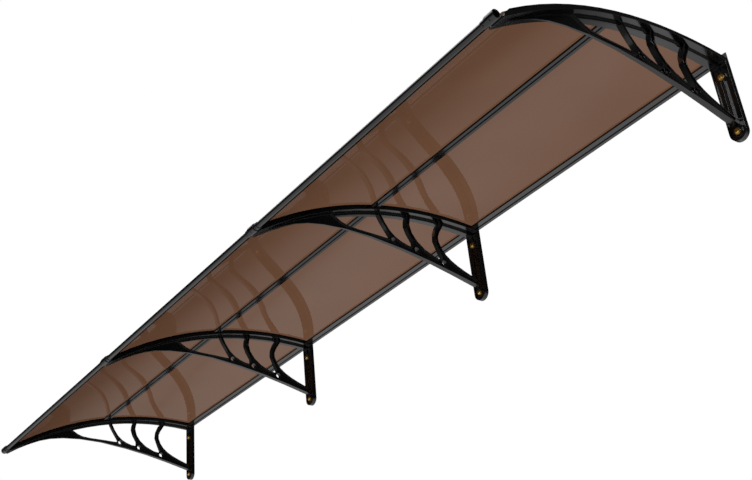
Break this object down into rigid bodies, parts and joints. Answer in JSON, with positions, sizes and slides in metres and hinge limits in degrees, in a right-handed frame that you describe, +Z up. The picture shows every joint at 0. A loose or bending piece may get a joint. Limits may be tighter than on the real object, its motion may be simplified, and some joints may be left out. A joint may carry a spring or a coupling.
{
  "type": "door canopy",
  "caption": "Wall-mounted door canopy: arched translucent brown sheets on openwork black brackets, with black rails along the front edge, the middle and the wall.",
  "frame": {"origin": "middle of the middle rear rail's back face, on the wall plane", "axes": "+X along the wall, +Y into the wall, +Z up"},
  "size_m": [3.05, 0.8446, 0.264],
  "materials": {
    "bracket_black": "black, glossy moulded",
    "sheet_brown": "translucent brown, glossy",
    "rail_black": "black powder coat, glossy",
    "cover_black": "black powder coat, satin",
    "bolt_zinc": "yellow zinc plated",
    "screw_steel": "plain zinc plated"
  },
  "bodies": {
    "root": {"bracket_1": "bracket_black", "bracket_2": "bracket_black", "bracket_3": "bracket_black", "bracket_4": "bracket_black", "sheet_1": "sheet_brown", "sheet_2": "sheet_brown", "sheet_3": "sheet_brown", "front_rail_1": "rail_black", "front_rail_2": "rail_black", "front_rail_3": "rail_black", "rail_sleeve_1_left": "rail_black", "rail_sleeve_1_right": "rail_black", "rail_sleeve_2_left": "rail_black", "rail_sleeve_2_right": "rail_black", "rail_sleeve_3_left": "rail_black", "rail_sleeve_3_right": "rail_black", "mid_strip_1": "rail_black", "mid_strip_2": "rail_black", "mid_strip_3": "rail_black", "rear_rail_1": "rail_black", "rear_rail_2": "rail_black", "rear_rail_3": "rail_black", "cover_strip_1": "cover_black", "cover_strip_2": "cover_black", "cover_strip_3": "cover_black", "cover_strip_4": "cover_black", "wall_bolt_1_lower": "bolt_zinc", "wall_bolt_1_upper": "bolt_zinc", "wall_bolt_2_lower": "bolt_zinc", "wall_bolt_2_upper": "bolt_zinc", "wall_bolt_3_lower": "bolt_zinc", "wall_bolt_3_upper": "bolt_zinc", "wall_bolt_4_lower": "bolt_zinc", "wall_bolt_4_upper": "bolt_zinc", "cover_screw_1_1": "screw_steel", "cover_screw_1_2": "screw_steel", "cover_screw_1_3": "screw_steel", "cover_screw_1_4": "screw_steel", "cover_screw_2_1": "screw_steel", "cover_screw_2_2": "screw_steel", "cover_screw_2_3": "screw_steel", "cover_screw_2_4": "screw_steel", "cover_screw_3_1": "screw_steel", "cover_screw_3_2": "screw_steel", "cover_screw_3_3": "screw_steel", "cover_screw_3_4": "screw_steel", "cover_screw_4_1": "screw_steel", "cover_screw_4_2": "screw_steel", "cover_screw_4_3": "screw_steel", "cover_screw_4_4": "screw_steel"}
  },
  "joints": []
}
